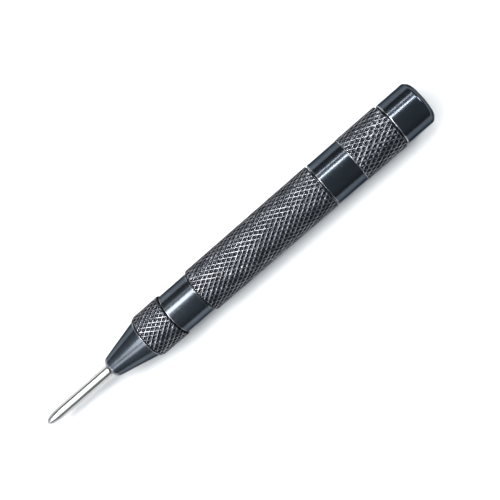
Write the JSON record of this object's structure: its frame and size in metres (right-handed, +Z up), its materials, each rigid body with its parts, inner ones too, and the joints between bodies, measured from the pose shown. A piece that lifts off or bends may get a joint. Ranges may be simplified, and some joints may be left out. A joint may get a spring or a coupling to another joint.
{
  "type": "automatic center punch",
  "caption": "Spring-loaded automatic center punch with a bright replaceable point, conical nose, diamond-knurled barrel and screw cap that sets the stroke.",
  "frame": {"origin": "centre of the tool's length, on the surface that it lies on", "axes": "+X along the tool's axis from the point to the cap, +Z up from the surface that it lies on"},
  "size_m": [0.127, 0.0128, 0.0128],
  "materials": {
    "blackened_steel": "blued black, satin, turned and knurled",
    "plated_steel": "bright nickel plate",
    "hardened_steel": "ground, lightly oiled",
    "spring_steel": "drawn wire and strip, oiled"
  },
  "bodies": {
    "housing": {"nose_sleeve": "blackened_steel", "barrel": "blackened_steel"},
    "stem": {"punch_point": "plated_steel", "drive_stem": "hardened_steel", "return_spring": "spring_steel"},
    "striker": {"hammer": "hardened_steel", "trip_spring": "spring_steel", "trip_spring_pin": "hardened_steel"},
    "release": {"trip_block": "hardened_steel"},
    "seat": {"spring_seat": "hardened_steel", "impact_spring": "spring_steel"},
    "cap": {"adjusting_cap": "blackened_steel"}
  },
  "joints": [
    {"name": "point_slide", "type": "slide", "parent": "housing", "child": "stem", "axis": [1, 0, 0], "range_m": [0, 0.009], "stiffness_N_per_m": 60, "springref_m": -0.002, "deforming": ["return_spring"]},
    {"name": "hammer_slide", "type": "slide", "parent": "housing", "child": "striker", "axis": [1, 0, 0], "range_m": [0, 0.009], "deforming": ["impact_spring"]},
    {"name": "trip_shift", "type": "slide", "parent": "striker", "child": "release", "axis": [0, 0, -1], "range_m": [0, 0.00105], "deforming": ["trip_spring"]},
    {"name": "cap_advance", "type": "slide", "parent": "housing", "child": "seat", "axis": [1, 0, 0], "range_m": [0, 0.0048]},
    {"name": "cap_turn", "type": "hinge", "parent": "seat", "child": "cap", "pos_m": [0.048, 0, 0.0064], "axis": [1, 0, 0], "range_deg": [0, 2160]}
  ],
  "couplings": [
    {"joint": "hammer_slide", "follows": "point_slide", "ratio": 1},
    {"joint": "trip_shift", "follows": "point_slide", "ratio": 0.1166},
    {"joint": "cap_turn", "follows": "cap_advance", "rad_per_m": 7854}
  ]
}
